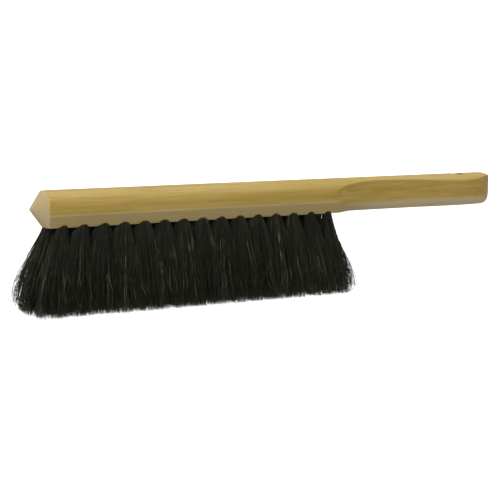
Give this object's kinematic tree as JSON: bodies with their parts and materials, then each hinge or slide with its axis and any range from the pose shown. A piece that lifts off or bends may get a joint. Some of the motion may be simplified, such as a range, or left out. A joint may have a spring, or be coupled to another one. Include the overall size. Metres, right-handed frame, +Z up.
{
  "type": "bee brush",
  "caption": "Long hand brush with soft dark hair tufts set in a slim hardwood block, a waisted handle with a hang hole and a pointed toe, for sweeping bees off comb.",
  "frame": {"origin": "middle of the brush's footprint, on the plane of the hair tips that it stands on", "axes": "+X runs along the wood from the pointed toe to the end of the handle, +Z points up from the hair tips to the crown of the wood, +Y completes a right-handed frame across the block"},
  "size_m": [0.3536, 0.048, 0.0765],
  "materials": {
    "wood": "sanded bare hardwood, satin",
    "hair": "black natural hair, soft sheen",
    "staple": "bright drawn wire"
  },
  "bodies": {
    "root": {"block_handle": "wood", "tuft_near_01": "hair", "tuft_near_02": "hair", "tuft_near_03": "hair", "tuft_near_04": "hair", "tuft_near_05": "hair", "tuft_near_06": "hair", "tuft_near_07": "hair", "tuft_near_08": "hair", "tuft_near_09": "hair", "tuft_near_10": "hair", "tuft_near_11": "hair", "tuft_near_12": "hair", "tuft_near_13": "hair", "tuft_near_14": "hair", "tuft_near_15": "hair", "tuft_middle_01": "hair", "tuft_middle_02": "hair", "tuft_middle_03": "hair", "tuft_middle_04": "hair", "tuft_middle_05": "hair", "tuft_middle_06": "hair", "tuft_middle_07": "hair", "tuft_middle_08": "hair", "tuft_middle_09": "hair", "tuft_middle_10": "hair", "tuft_middle_11": "hair", "tuft_middle_12": "hair", "tuft_middle_13": "hair", "tuft_middle_14": "hair", "tuft_middle_15": "hair", "tuft_far_01": "hair", "tuft_far_02": "hair", "tuft_far_03": "hair", "tuft_far_04": "hair", "tuft_far_05": "hair", "tuft_far_06": "hair", "tuft_far_07": "hair", "tuft_far_08": "hair", "tuft_far_09": "hair", "tuft_far_10": "hair", "tuft_far_11": "hair", "tuft_far_12": "hair", "tuft_far_13": "hair", "tuft_far_14": "hair", "tuft_far_15": "hair", "staples_near": "staple", "staples_middle": "staple", "staples_far": "staple"}
  },
  "joints": []
}
